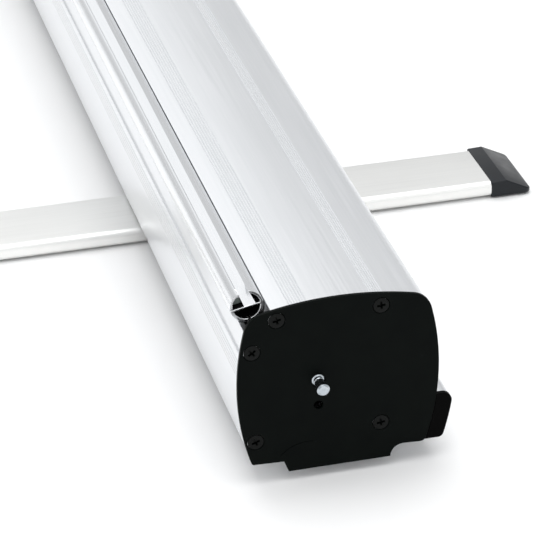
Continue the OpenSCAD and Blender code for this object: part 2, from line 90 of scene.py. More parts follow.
def stretched(tree, place, scale):
    # coordinates scaled apart along X, Y and Z
    return addNode(tree, "ShaderNodeMapping", {"Scale": scale}, {"Vector": place}).outputs["Vector"]


def noise(tree, place, size, detail=3.0, roughness=0.55):
    # size is the grain's width in metres
    return addNode(tree, "ShaderNodeTexNoise", {"Scale": 1 / size, "Detail": detail, "Roughness": roughness},
                   {"Vector": place}).outputs["Fac"]


def ramp(tree, value, low, high, fromLow=0.0, fromHigh=1.0):
    return addNode(tree, "ShaderNodeMapRange", {"From Min": fromLow, "From Max": fromHigh,
                   "To Min": low, "To Max": high}, {"Value": value}).outputs["Result"]


def tint(tree, value, colours, stops=(0.0, 1.0)):
    node = addNode(tree, "ShaderNodeValToRGB", links={"Fac": value})
    for k, colour in enumerate(colours):
        element = node.color_ramp.elements[k] if k < 2 else node.color_ramp.elements.new(stops[k])
        element.position = stops[k]
        element.color = linear(colour)
    return node.outputs["Color"]


def bump(tree, height, depth, strength=1.0):
    # depth is the real height of the grain, in metres
    settings = {"Strength": strength, "Distance": depth}
    return addNode(tree, "ShaderNodeBump", settings, {"Height": height}).outputs["Normal"]


def feed(tree, shader, colour, roughness, normal):
    # joins the three patterns to the shader; roughness may be left even
    tree.links.new(colour, shader.inputs["Base Color"])
    if roughness:
        tree.links.new(roughness, shader.inputs["Roughness"])
    tree.links.new(normal, shader.inputs["Normal"])


def math2(tree, operation, a, b=None):
    links, settings = {}, {"operation": operation}
    for k, value in enumerate((a, b)):
        if isinstance(value, (int, float)):
            settings[k] = value
        elif value is not None:
            links[k] = value
    return addNode(tree, "ShaderNodeMath", settings, links).outputs[0]


# ---- materials, each named for the real finish

def satinAnodised(name, colour, roughness, linePitch=0.9 * mm, lineDepth=0.002 * mm, along="X"):
    # extruded aluminium, etched and anodised: a soft metal sheen with faint die lines along the bar.
    # The real lines are about 0.2 mm apart and are drawn at 0.9 mm so that they show.
    material, tree, shader, place = newMaterial(name, Metallic=1.0, Roughness=roughness)
    squeeze = (0.012, 1, 1) if along == "X" else (1, 0.012, 1)
    lines = noise(tree, stretched(tree, place, squeeze), linePitch, 4.0, 0.6)
    cloud = noise(tree, stretched(tree, place, (0.25, 1, 1)), 60 * mm, 2.0)
    both = math2(tree, "ADD", math2(tree, "MULTIPLY", lines, 0.75), math2(tree, "MULTIPLY", cloud, 0.25))
    unevenness = ramp(tree, both, roughness - 0.05, roughness + 0.06, 0.3, 0.7)
    feed(tree, shader, tint(tree, both, colour, (0.32, 0.68)), unevenness,
         bump(tree, lines, lineDepth, 0.55))
    return material


def powderCoat(name, colour, roughness=0.46, gloss=0.1):
    # black powder coat on sheet steel: satin, with a fine orange peel and slightly uneven tone
    material, tree, shader, place = newMaterial(name, Metallic=0.0, Roughness=roughness, IOR=1.5)
    shader.inputs["Specular IOR Level"].default_value = gloss
    peel = noise(tree, place, 1.1 * mm, 2.0)
    broad = noise(tree, place, 14 * mm, 3.0)
    unevenness = ramp(tree, broad, roughness - 0.05, roughness + 0.07, 0.3, 0.7)
    feed(tree, shader, tint(tree, broad, colour, (0.35, 0.7)), unevenness, bump(tree, peel, 0.03 * mm, 0.6))
    return material


def mouldedPlastic(name, colour, roughness, grain=0.45 * mm, depth=0.02 * mm, gloss=0.5):
    # injection moulded: a spark-eroded grain that breaks the highlight, and slightly uneven gloss
    material, tree, shader, place = newMaterial(name, Metallic=0.0, Roughness=roughness, IOR=1.53)
    shader.inputs["Specular IOR Level"].default_value = gloss
    fine = noise(tree, place, grain, 2.0)
    flow = noise(tree, place, 9 * mm, 3.0)
    unevenness = ramp(tree, flow, roughness - 0.06, roughness + 0.06, 0.3, 0.7)
    feed(tree, shader, tint(tree, flow, colour, (0.3, 0.7)), unevenness, bump(tree, fine, depth, 0.6))
    return material


def turnedSteel(name, colour, roughness, pitch=0.35 * mm, depth=0.01 * mm):
    # zinc-plated turned steel: bright, with fine feed marks round the axis
    material, tree, shader, place = newMaterial(name, Metallic=1.0, Roughness=roughness)
    marks = noise(tree, stretched(tree, place, (1, 0.05, 0.05)), pitch, 2.0)
    spots = noise(tree, place, 2.5 * mm, 4.0)
    unevenness = ramp(tree, spots, roughness - 0.05, roughness + 0.1, 0.3, 0.75)
    feed(tree, shader, tint(tree, spots, colour, (0.3, 0.7)), unevenness, bump(tree, marks, depth, 0.5))
    return material


def bannerVinyl(name):
    # white matt banner film: faint weave of the scrim inside it, drawn at 1 mm, and a soft sheen
    material, tree, shader, place = newMaterial(name, Metallic=0.0, Roughness=0.52, IOR=1.46)
    shader.inputs["Sheen Weight"].default_value = 0.15
    weave = addNode(tree, "ShaderNodeTexWave", {"bands_direction": "X", "Scale": 1 / (6.28 * mm),
                    "Distortion": 0.6}, {"Vector": place}).outputs["Fac"]
    weft = addNode(tree, "ShaderNodeTexWave", {"bands_direction": "Z", "Scale": 1 / (6.28 * mm),
                   "Distortion": 0.6}, {"Vector": place}).outputs["Fac"]
    cloth = math2(tree, "MULTIPLY", weave, weft)
    cloud = noise(tree, place, 120 * mm, 3.0)
    feed(tree, shader, tint(tree, cloud, ("#e9e9e5", "#f4f4f1"), (0.3, 0.7)), None,
         bump(tree, cloth, 0.02 * mm, 0.4))
    return material


def mouldedRubber(name):
    # black rubber: dull, with a slight bloom
    material, tree, shader, place = newMaterial(name, Metallic=0.0, Roughness=0.75, IOR=1.52)
    bloom = noise(tree, place, 3 * mm, 4.0)
    grain = noise(tree, place, 0.5 * mm)
    feed(tree, shader, tint(tree, bloom, ("#141414", "#232322"), (0.35, 0.7)), None,
         bump(tree, grain, 0.03 * mm, 0.6))
    return material


finishes = {
    "casing": satinAnodised("satinAnodisedCasing", ("#eceef0", "#f1f2f4"), 0.34),
    # the lower casing's copy of the same anodised aluminium is a shade darker: painted shade for its lower
    # flanks
    "casingBase": satinAnodised("satinAnodisedBasePaintedShade", ("#e2e4e6", "#e9eaec"), 0.32),
    "rail": satinAnodised("satinAnodisedRail", ("#e8eaec", "#eff0f2"), 0.24),
    "foot": satinAnodised("satinAnodisedFoot", ("#ececea", "#f2f2f0"), 0.4, along="Y"),
    "tube": satinAnodised("drawnAluminiumTube", ("#c4c7ca", "#dfe2e4"), 0.28),
    "plate": powderCoat("blackPowderCoat", ("#030605", "#060a08"), 0.42, 0.05),
    "screw": powderCoat("blackOxideScrew", ("#040605", "#080a09"), 0.32, 0.12),
    "steel": turnedSteel("zincPlatedSteel", ("#c3c6c8", "#e3e5e6"), 0.22),
    "pin": turnedSteel("brightTurnedPin", ("#aeb6bc", "#c9cfd4"), 0.2),
    "spring": turnedSteel("oiledSpringWire", ("#5a5c60", "#7d8084"), 0.3),
    "blackPlastic": mouldedPlastic("blackMouldedAbs", ("#010101", "#030303"), 0.42, gloss=0.03),
    "footCap": mouldedPlastic("charcoalMouldedAbs", ("#090d12", "#10151b"), 0.36, gloss=0.3),
    "insert": mouldedPlastic("greyMouldedNylon", ("#535b58", "#6b736f"), 0.5),
    "nylon": mouldedPlastic("naturalMouldedNylon", ("#cfcabb", "#e2dece"), 0.48),
    "film": bannerVinyl("whiteBannerVinyl"),
    "rubber": mouldedRubber("blackMouldedRubber"),
}
print("materials made:", len(finishes))


# ---- places that come from the frame

def middle(node):
    low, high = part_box(node)
    return (low + high) / 2


plateLow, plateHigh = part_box("end_plate_near")
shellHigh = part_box("top_shell")[1]
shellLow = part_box("base_shell")[0]
rollerMid = middle("roller_tube")
railLow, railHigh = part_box("rail_body")
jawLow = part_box("rail_jaw")[0]
railRadius = (railHigh.y - jawLow.y) / 2 / mm
railCentre = ((railHigh.y + jawLow.y) / 2 / mm, railLow.z / mm + railRadius)


# ---- sections: (y, z) points in millimetres, turned into meshes in metres

def polar(centre, radius, angle):
    a = math.radians(angle)
    return (centre[0] + radius * math.cos(a), centre[1] + radius * math.sin(a))


def arc(centre, radius, fromAngle, toAngle, count):
    return [polar(centre, radius, fromAngle + (toAngle - fromAngle) * k / count) for k in range(count + 1)]


def bearing(a, b):
    return math.degrees(math.atan2(b[1] - a[1], b[0] - a[0]))


def mirrored(points):
    return [(-y, z) for y, z in reversed(points)]


def softened(points, radius, steps=3, sharpest=24):
    # rounds each corner that turns by more than sharpest degrees
    clean = [p for k, p in enumerate(points) if math.dist(p, points[k - 1]) > 1e-4]
    rounded = []
    for k, p in enumerate(clean):
        a, b = Vector(clean[k - 1]), Vector(clean[(k + 1) % len(clean)])
        back, ahead = a - Vector(p), b - Vector(p)
        turn = 180 - math.degrees(back.angle(ahead))
        if turn < sharpest:
            rounded.append(p)
            continue
        cut = min(radius * math.tan(math.radians(turn / 2)), 0.45 * back.length, 0.45 * ahead.length)
        first, last = Vector(p) + back.normalized() * cut, Vector(p) + ahead.normalized() * cut
        for s in range(steps + 1):
            t = s / steps
            q = (1 - t) ** 2 * first + 2 * t * (1 - t) * Vector(p) + t * t * last
            rounded.append((q.x, q.y))
    return rounded


def isCounterClockwise(points):
    return sum(points[k - 1][0] * p[1] - p[0] * points[k - 1][1] for k, p in enumerate(points)) > 0


def insetLoop(points, depth):
    # moves each point into the material, which lies on the left of the way round
    moved = []
    for k, p in enumerate(points):
        a, b = points[k - 1], points[(k + 1) % len(points)]
        u, v = (Vector(p) - Vector(a)).normalized(), (Vector(b) - Vector(p)).normalized()
        left = Vector((-u.y - v.y, u.x + v.x)) / max(1 + u.dot(v), 0.35)
        moved.append((p[0] + left.x * depth, p[1] + left.y * depth))
    return moved


def alongX(u, point):
    return Vector((u, point[0], point[1])) * mm


def alongY(u, point):
    return Vector((point[0], u, point[1])) * mm


def alongZ(u, point):
    return Vector((point[0], point[1], u)) * mm


def finished(name, bm, material, smoothAngle=34):
    bmesh.ops.remove_doubles(bm, verts=bm.verts, dist=1e-7)
    bmesh.ops.recalc_face_normals(bm, faces=bm.faces)
    mesh = bpy.data.meshes.new(name)
    bm.to_mesh(mesh)
    bm.free()
    mesh.polygons.foreach_set("use_smooth", [True] * len(mesh.polygons))
    mesh.set_sharp_from_angle(angle=math.radians(smoothAngle))
    mesh.materials.append(material)
    piece = bpy.data.objects.new(name, mesh)
    bpy.context.scene.collection.objects.link(piece)
    return piece


def addExtrusion(bm, loops, start, end, chamfer=0.0, way=alongX):
    # the first loop is the outside, the others are holes
    rings = []
    for k, loop in enumerate(loops):
        loop = loop if isCounterClockwise(loop) == (k == 0) else list(reversed(loop))
        small = insetLoop(loop, chamfer) if chamfer else loop
        levels = [(start, small), (start + chamfer, loop), (end - chamfer, loop), (end, small)]
        levels = levels if chamfer else [levels[0], levels[-1]]
        rings.append([[bm.verts.new(way(u, p)) for p in points] for u, points in levels])
    for levels in rings:
        for low, high in zip(levels, levels[1:]):
            for k in range(len(low)):
                bm.faces.new((low[k - 1], low[k], high[k], high[k - 1]))
    for level in (0, -1):
        verts = [v for levels in rings for v in levels[level]]
        outlines = [[v.co for v in levels[level]] for levels in rings]
        for triangle in tessellate_polygon(outlines):
            if len(set(triangle)) == 3:
                bm.faces.new([verts[k] for k in triangle])


def extrusion(name, loops, start, end, material, chamfer=0.0, way=alongX):
    bm = bmesh.new()
    addExtrusion(bm, loops, start, end, chamfer, way)
    return finished(name, bm, material)


def addTurned(bm, profile, centre, way=alongX, segments=48):
    # revolves (place along the axis, radius) points; a radius of 0 closes the end
    rings = []
    for u, radius in profile:
        count = segments if radius > 1e-6 else 1
        rings.append([bm.verts.new(way(u, polar(centre, radius, 360 * k / count))) for k in range(count)])
    for low, high in zip(rings, rings[1:]):
        for k in range(segments):
            corners = [low[k % len(low)], low[(k + 1) % len(low)]]
            corners += [high[(k + 1) % len(high)], high[k % len(high)]]
            bm.faces.new(list(dict.fromkeys(corners)))


def turned(name, profile, centre, material, way=alongX):
    bm = bmesh.new()
    addTurned(bm, profile, centre, way)
    return finished(name, bm, material)


def combine(piece, tool, operation="DIFFERENCE"):
    # cuts the piece with a tool, or keeps what they share, and removes the tool
    modifier = piece.modifiers.new("combine", "BOOLEAN")
    modifier.operation = operation
    modifier.solver = "EXACT"
    modifier.object = tool
    bake(piece)
    bpy.data.objects.remove(tool)
    return piece


def bevelled(piece, width, angle=30, segments=2):
    modifier = piece.modifiers.new("bevel", "BEVEL")
    modifier.width = width
    modifier.segments = segments
    modifier.limit_method = "ANGLE"
    modifier.angle_limit = math.radians(angle)
    modifier.harden_normals = False
    bake(piece)
    return piece


def bake(piece, smoothAngle=34):
    # applies the piece's modifiers
    bpy.context.view_layer.update()
    done = bpy.data.meshes.new_from_object(piece.evaluated_get(bpy.context.evaluated_depsgraph_get()))
    piece.modifiers.clear()
    piece.data = done
    done.polygons.foreach_set("use_smooth", [True] * len(done.polygons))
    done.set_sharp_from_angle(angle=math.radians(smoothAngle))


def install(piece, body, *cadNodes):
    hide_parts(*cadNodes)
    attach(piece, body)
    return piece


# ---- casing

casing = {
    "skin": 0.8, "wall": 1.8,
    "sideRadius": 130, "topRadius": 170, "cornerRadius": 11, "footRadius": 3, "sideLevel": 41,
    "seatGap": 0.6, "slotGap": 0.5,
    "flankGrooves": [47.5 + 2 * k for k in range(5)],
    "crownGrooves": [-22.8 + 1.35 * k for k in range(7)] + [15.6 + 1.15 * k for k in range(6)],
    "grooveDepth": 0.3, "grooveWidth": 0.5,
    "recess": (59.5, 67.0), "recessDepth": 0.9, "lip": 65.0,
    "joint": 33.0, "edgeRadius": 0.3,
    "bossRadius": 3.5, "screwHole": 1.5,
}
floorLevel = shellLow.z / mm - casing["skin"]
halfWidth = plateHigh.y / mm
crownTop = plateHigh.z / mm
sideLevel = floorLevel + casing["sideLevel"]
sideCentre = (halfWidth - casing["sideRadius"], sideLevel)
topCentre = (0.0, crownTop - casing["topRadius"])
shellEnd = shellHigh.x / mm


def touching(a, ra, b, rb):
    # centre of the circle that touches two arcs from inside
    d = math.dist(a, b)
    u = ((b[0] - a[0]) / d, (b[1] - a[1]) / d)
    k = (ra * ra - rb * rb + d * d) / (2 * d)
    h = math.sqrt(ra * ra - k * k)
    return (a[0] + k * u[0] - h * u[1], a[1] + k * u[1] + h * u[0])


cornerCentre = touching(sideCentre, casing["sideRadius"] - casing["cornerRadius"],
                        topCentre, casing["topRadius"] - casing["cornerRadius"])
sideEnd = bearing(sideCentre, cornerCentre)
crownEnd = bearing(topCentre, cornerCentre)


def sideY(inset, z):
    return sideCentre[0] + math.sqrt((casing["sideRadius"] - inset) ** 2 - (z - sideLevel) ** 2)


def crownZ(inset, y):
    return topCentre[1] + math.sqrt((casing["topRadius"] - inset) ** 2 - y * y)


def sidePath(inset, z0, z1, count=16):
    levels = [z0 + (z1 - z0) * k / count for k in range(count + 1)]
    return [(sideY(inset, z), z) for z in levels]


def crownPath(inset, y0, y1, count=16):
    return [(y, crownZ(inset, y)) for y in (y0 + (y1 - y0) * k / count for k in range(count + 1))]


def lowerCorner(inset):
    r = max(casing["footRadius"] - inset, 0.4)
    reach = casing["sideRadius"] - inset - r
    a = math.degrees(math.asin((floorLevel + inset + r - sideLevel) / reach))
    return arc(polar(sideCentre, reach, a), r, -90, a, 8)


def upperCorner(inset):
    return arc(cornerCentre, casing["cornerRadius"] - inset, sideEnd, crownEnd, 14)


def casingOutline(inset):
    low = lowerCorner(inset)
    top = upperCorner(inset)
    right = low + sidePath(inset, low[-1][1], top[0][1], 30) + top + crownPath(inset, top[-1][0], 0, 20)
    return right + mirrored(right)


def groovePath(at, level):
    # a groove with sloping flanks, at(place, depth) gives a point; it runs from high to low place
    w, d = casing["grooveWidth"] / 2, casing["grooveDepth"]
    return [at(level + w, 0), at(level + 0.5 * w, d), at(level - 0.5 * w, d), at(level - w, 0)]


def bossPath(centre, towards, halfAngle):
    # most of a screw boss's circle, open towards the wall that it stands on
    return arc(centre, casing["bossRadius"], towards + halfAngle, towards + 360 - halfAngle, 24)


def hole(centre, radius, count=24):
    return arc(centre, radius, 0, 360 * (count - 1) / count, count - 1)


screwPlaces = [(8.4 - halfWidth, floorLevel + 13), (20.5, floorLevel + 13.9),
               (7.4 - halfWidth, sideLevel + 20.3), (-29.5, crownZ(0, 29.5) - 5.7),
               (20.5, crownZ(0, 20.5) - 6.6)]
skin, inner = casing["skin"], casing["skin"] + casing["wall"]


def ports(*numbers):
    # the screw holes of the ports with these numbers
    return [hole(screwPlaces[k], casing["screwHole"]) for k in numbers]


def onWall(place, wallY):
    # half angle of the stretch where a boss's circle lies inside the wall
    return math.degrees(math.acos(abs(wallY - place[0]) / casing["bossRadius"]))


def baseLoops():
    def front(z, depth=0.0):
        return (-sideY(skin + depth, z), z)

    recessLow, recessHigh = (floorLevel + level for level in casing["recess"])
    seat = railRadius + casing["seatGap"]
    lipOut = next(p for p in arc(railCentre, seat, 200, 270, 140) if p[0] > -sideY(skin, p[1]))
    lipIn = next(p for p in arc(railCentre, seat, 270, 200, 140) if p[0] < -sideY(inner + 1.2, p[1]))
    outer = [lipOut] + [front(z) for z in (lipOut[1] - 1, (lipOut[1] + recessHigh) / 2, recessHigh)]
    outer += [front(recessHigh - (recessHigh - recessLow) * k / 6, casing["recessDepth"]) for k in range(7)]
    outer += [front(recessLow)]
    for level in reversed(casing["flankGrooves"]):
        outer += groovePath(front, floorLevel + level)
    low = lowerCorner(skin)
    outer += [front(outer[-1][1] + (low[-1][1] - outer[-1][1]) * k / 20) for k in range(1, 20)]
    outer += mirrored(low) + low + sidePath(skin, low[-1][1], floorLevel + casing["joint"], 14)
    lowIn = lowerCorner(inner)
    inside = list(reversed(lowIn + sidePath(inner, lowIn[-1][1], floorLevel + casing["joint"], 14)))
    inside += bossPath(screwPlaces[1], 270, 16.6)
    wall = mirrored(sidePath(inner, lowIn[-1][1], lipIn[1] - 8, 40))
    wall.reverse()
    left = [(-y, z) for y, z in lowIn]
    for k in (0, 2):
        place = screwPlaces[k]
        half = onWall(place, -sideY(inner, place[1]))
        ring = bossPath(place, 180, half)
        before = [p for p in wall if p[1] < ring[0][1]]
        left += [p for p in before if not left or p[1] > left[-1][1]] + ring
        wall = [p for p in wall if p[1] > ring[-1][1]]
    lip = floorLevel + casing["lip"]
    left += [(-sideY(inner, lip), lip)] + [(-sideY(inner + 1.2, z), z) for z in (lip, lip + 3, lipIn[1])]
    loop = outer + inside + left
    return [softened(loop, casing["edgeRadius"])] + ports(0, 1, 2)


def topLoops():
    joint = floorLevel + casing["joint"] + 0.2
    corner = upperCorner(skin)
    loop = sidePath(skin, joint, corner[0][1], 20) + corner
    edge = railCentre[0] + railRadius + casing["slotGap"]

    def crown(y, depth=0.0):
        return (y, crownZ(skin + depth, y))

    marks = sorted(casing["crownGrooves"], reverse=True)
    loop += crownPath(skin, corner[-1][0], marks[0] + 0.6, 6)
    for before, y in zip([None] + marks, marks):
        if before and before - y > 4:
            loop += crownPath(skin, before - 0.6, y + 0.6, 16)
        loop += groovePath(crown, y)
    loop += crownPath(skin, marks[-1] - 0.6, edge, 6)
    loop += arc(railCentre, railRadius + casing["seatGap"], -8, -27, 5)
    loop += bossPath(screwPlaces[3], 125, 82)[1:]
    cornerIn = upperCorner(inner)
    loop += crownPath(inner, screwPlaces[3][0] + 4, screwPlaces[4][0] - 1, 16)
    loop += bossPath(screwPlaces[4], 90, 16.6)
    loop += crownPath(inner, screwPlaces[4][0] + 1, cornerIn[-1][0], 6) + list(reversed(cornerIn))
    loop += list(reversed(sidePath(inner, joint + 7.8, cornerIn[0][1], 16)))
    loop += [(sideY(inner + 1.4, z), z) for z in (joint + 7.8, joint, joint - 8.2)]
    loop += [(sideY(inner + 0.1, z), z) for z in (joint - 8.2, joint, joint + 0.8)]
    loop += [(sideY(skin + 0.6, joint + 0.8), joint + 0.8), (sideY(skin + 0.6, joint), joint)]
    return [softened(loop, casing["edgeRadius"])] + ports(3, 4)


casingBase = extrusion("casingBase", baseLoops(), -shellEnd, shellEnd, finishes["casingBase"])
install(casingBase, "cassette", "base_shell")
casingTop = extrusion("casingTop", topLoops(), -shellEnd, shellEnd, finishes["casing"])
install(casingTop, "cassette", "top_shell")
print("casing extrusions made")


# ---- end plates and their screws

plate = {"notch": 6.2, "tabLeft": -26.9, "tabRight": 31.5, "edgeRadius": 0.5, "chamfer": 0.25,
         "tabSlant": 2.2, "pinHole": 3.3, "lockHole": 2.25, "lockDrop": 13.1, "screwHead": 4.15,
         "scoreCentre": (-15.4, 2.7), "scoreRadius": 17.8, "scoreFrom": 80, "scoreTo": 140,
         "scoreWidth": 0.3, "scoreDepth": 0.2}
screw = {"headRadius": 3.85, "sink": 1.7, "shank": 1.45, "length": 12, "crossLength": 4.6,
         "crossWidth": 1.2, "crossDepth": 1.9, "below": 0.2}
rollerCentre = (rollerMid.y / mm, rollerMid.z / mm)
plateEnd = plateHigh.x / mm
sides = {"near": 1, "far": -1}


def toSide(side):
    # the far end is the near end's mirror image
    return lambda u, point: Vector((sides[side] * u, point[0], point[1])) * mm


def plateOutline():
    tabLevel = plateLow.z / mm
    loop = casingOutline(0)
    bottom = floorLevel
    rightOfTab = [p for p in loop if p[0] > plate["tabRight"] or p[1] > bottom + 0.5]
    split = next(k for k, p in enumerate(rightOfTab) if p[0] > plate["tabRight"])
    notch = arc((plate["tabRight"], tabLevel), plate["notch"], 180, 90, 8)
    left = plate["tabLeft"]
    tab = [(left, bottom), (left + plate["tabSlant"], tabLevel), (left + 5, tabLevel)]
    return tab + notch + rightOfTab[split:] + rightOfTab[:split]


def makePlate(side):
    holes = [hole(p, plate["screwHead"]) for p in screwPlaces]
    holes += [hole(rollerCentre, plate["pinHole"]),
              hole((rollerCentre[0], rollerCentre[1] - plate["lockDrop"]), plate["lockHole"])]
    loops = [softened(plateOutline(), plate["edgeRadius"])] + holes
    piece = extrusion("endPlate" + side.capitalize(), loops, shellEnd, plateEnd, finishes["plate"],
                      plate["chamfer"], toSide(side))
    install(combine(piece, scoredLine(side)), "cassette", "end_plate_" + side)


def scoredLine(side):
    # a fine curved line scored into the plate's face near its lower corner
    half = plate["scoreWidth"] / 2
    loop = arc(plate["scoreCentre"], plate["scoreRadius"] + half, plate["scoreFrom"], plate["scoreTo"], 24)
    loop += arc(plate["scoreCentre"], plate["scoreRadius"] - half, plate["scoreTo"], plate["scoreFrom"], 24)
    return extrusion("score", [loop], plateEnd - plate["scoreDepth"], plateEnd + 1, finishes["plate"], 0.0,
                     toSide(side))


def screwHead(side, place):
    # countersunk head, slightly dished, with a cross recess cut into it
    face = plateEnd - screw["below"]
    tip, r, shank = face - screw["length"], screw["headRadius"], screw["shank"]
    profile = [(tip, 0), (tip, shank - 0.4), (tip + 0.8, shank), (face - screw["sink"], shank),
               (face - 0.25, r), (face - 0.05, r - 0.05), (face, r - 0.25),
               (face + 0.04, r * 0.5), (face + 0.04, 0)]
    piece = turned("screw", profile, place, finishes["screw"], toSide(side))
    turn = math.radians(random.uniform(0, 90))
    for a in (turn, turn + math.pi / 2):
        piece = combine(piece, crossArm(side, place, face, a))
    return piece


def crossArm(side, place, face, a):
    # one arm of the cross recess: a slot that narrows downwards
    u, v = Vector((math.cos(a), math.sin(a))), Vector((-math.sin(a), math.cos(a)))
    rings = []
    for level, length, width in ((face + 0.5, 1.0, 1.0), (face - screw["crossDepth"], 0.45, 0.7)):
        half = u * screw["crossLength"] / 2 * length, v * screw["crossWidth"] / 2 * width
        corners = [Vector(place) + half[0] * x + half[1] * y
                   for x, y in ((-1, -1), (1, -1), (1, 1), (-1, 1))]
        rings.append([toSide(side)(level, c) for c in corners])
    return block(rings, finishes["screw"])


def block(rings, material):
    # a solid between two rings of four corners
    bm = bmesh.new()
    rings = [[bm.verts.new(corner) for corner in ring] for ring in rings]
    for ring in rings:
        bm.faces.new(ring)
    for k in range(4):
        bm.faces.new((rings[0][k - 1], rings[0][k], rings[1][k], rings[1][k - 1]))
    return finished("block", bm, material)


def joined(name, parts):
    bm = bmesh.new()
    for part in parts:
        bm.from_mesh(part.data)
    material = parts[0].data.materials[0]
    for part in parts:
        bpy.data.objects.remove(part)
    return finished(name, bm, material)


for side in sides:
    makePlate(side)
    screws = [screwHead(side, place) for place in screwPlaces]
    install(joined("plateScrews" + side.capitalize(), screws), "cassette", "plate_screws_" + side)
print("end plates made")


# ---- tension pin: turned steel with a grooved neck and a bevelled head

pin = {"radius": 3.1, "neckRadius": 2.0, "neckFrom": 1.2, "neckTo": 4.5, "bevel": 0.8, "ringRadius": 2.4,
       "ringFrom": -0.35}


def makePin():
    low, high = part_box("tension_pin")
    tip, start = high.x / mm, low.x / mm
    r, neck = pin["radius"], pin["neckRadius"]
    a, b = plateEnd + pin["neckFrom"], plateEnd + pin["neckTo"]
    ring, ringFrom = pin["ringRadius"], plateEnd + pin["ringFrom"]
    profile = [(start, 0), (start, r), (ringFrom - 0.3, r), (ringFrom, ring), (a - 0.2, ring),
               (a, ring - 0.2), (a + 0.1, neck + 0.15), (a + 0.4, neck),
               (b - 0.3, neck), (b - 0.05, neck + 0.1), (b, r - 0.25), (b + 0.2, r),
               (tip - pin["bevel"], r), (tip - 0.08, r - pin["bevel"] + 0.1), (tip, r - pin["bevel"] - 0.1),
               (tip, 0)]
    install(turned("tensionPin", profile, rollerCentre, finishes["pin"]), "tension_axle", "tension_pin")


makePin()
print("tension pin made")


# ---- round top rail: body, snap jaw and end inserts, drawn in the rail's own axes

rail = {"tilt": 11.5, "wall": 1.5, "jawWall": 1.3, "web": 1.0, "slit": 1.3, "ribDrop": 0.1,
        "ribFoot": (-1.0, 4.6), "ribTop": (-2.6, 2.3), "ribSlope": 6.5, "jawGap": 0.3, "splitGap": 4.5,
        "beadRadius": 0.9, "beadGap": 0.05, "beadDepth": 0.95, "chamfer": 0.2, "edgeRadius": 0.18,
        "insertLength": 15, "insetUpper": 3.0, "plugInset": 3.6, "coverInset": 1.5, "coverThickness": 2.0}
beadAngle = bearing((0, 0), (rail["ribTop"][0], railRadius - 1)) + 4
beadCentre = polar((0, 0), railRadius - rail["beadDepth"], beadAngle)
railEnd = railHigh.x / mm


def inRail(points):
    a = math.radians(rail["tilt"])
    c, s = math.cos(a), math.sin(a)
    return [(railCentre[0] + x * c - y * s, railCentre[1] + x * s + y * c) for x, y in points]


def angleAt(radius, x=None, y=None):
    return math.degrees(math.acos(x / radius) if y is None else math.asin(y / radius))


def railBodyLoop():
    # the hollow lower half with its slit, the web, and the thin wall up to the rib on the right
    r, wall, web, slit = railRadius, rail["wall"], rail["web"], rail["slit"] / 2
    inside = r - rail["jawWall"]
    ribRight = rail["ribTop"][1]
    slitOut, slitIn = angleAt(r, x=slit), angleAt(r - wall, x=slit)
    loop = arc((0, 0), r, -slitOut, angleAt(r, x=ribRight), 60)
    loop += arc((0, 0), inside, angleAt(inside, x=ribRight + 0.4), 3, 20)
    loop += [(inside - 0.3, 0), (-r + 0.01, 0)]
    loop += arc((0, 0), r, 180, 180 + slitOut, 30)[1:]
    low = angleAt(r - wall, y=-web)
    loop += arc((0, 0), r - wall, 180 + slitIn, 180 - low, 24)
    loop += arc((0, 0), r - wall, low, -slitIn, 24)
    return [inRail(softened(loop, rail["edgeRadius"]))]


def railRib():
    # stands on the web with a flat top; its ends slope down to the web, and the jaw's bead lies in its side
    rings = []
    foot = (-0.2, railEnd - rail["chamfer"], rail["ribFoot"])
    top = (railRadius - rail["ribDrop"], railEnd - rail["ribSlope"], rail["ribTop"])
    for y, end, (left, right) in (foot, top):
        a, b = inRail([(left, y), (right, y)])
        rings.append([alongX(u, p) for u, p in ((-end, a), (-end, b), (end, b), (end, a))])
    reach = railEnd + 1
    seat = rail["beadRadius"] + rail["beadGap"]
    profile = [(-reach, 0), (-reach, seat), (reach, seat), (reach, 0)]
    tool = turned("beadSeat", profile, inRail([beadCentre])[0], finishes["rail"])
    return combine(block(rings, finishes["rail"]), tool)


def railJawLoop():
    r = railRadius
    inside = r - rail["jawWall"]
    foot = 180 - angleAt(r, y=rail["jawGap"])
    loop = arc((0, 0), r, beadAngle + rail["splitGap"], foot, 30)
    loop += arc((0, 0), inside, foot - 0.4, beadAngle + 9, 24)
    loop += arc(beadCentre, rail["beadRadius"], beadAngle + 120, beadAngle + 345, 20)
    return [inRail(softened(loop, rail["edgeRadius"]))]


shellOfRail = extrusion("railShell", railBodyLoop(), -railEnd, railEnd, finishes["rail"], rail["chamfer"])
install(joined("railBody", [shellOfRail, railRib()]), "top_rail", "rail_body")
install(extrusion("railJaw", railJawLoop(), -railEnd, railEnd, finishes["rail"], rail["chamfer"]),
        "rail_clamp", "rail_jaw")


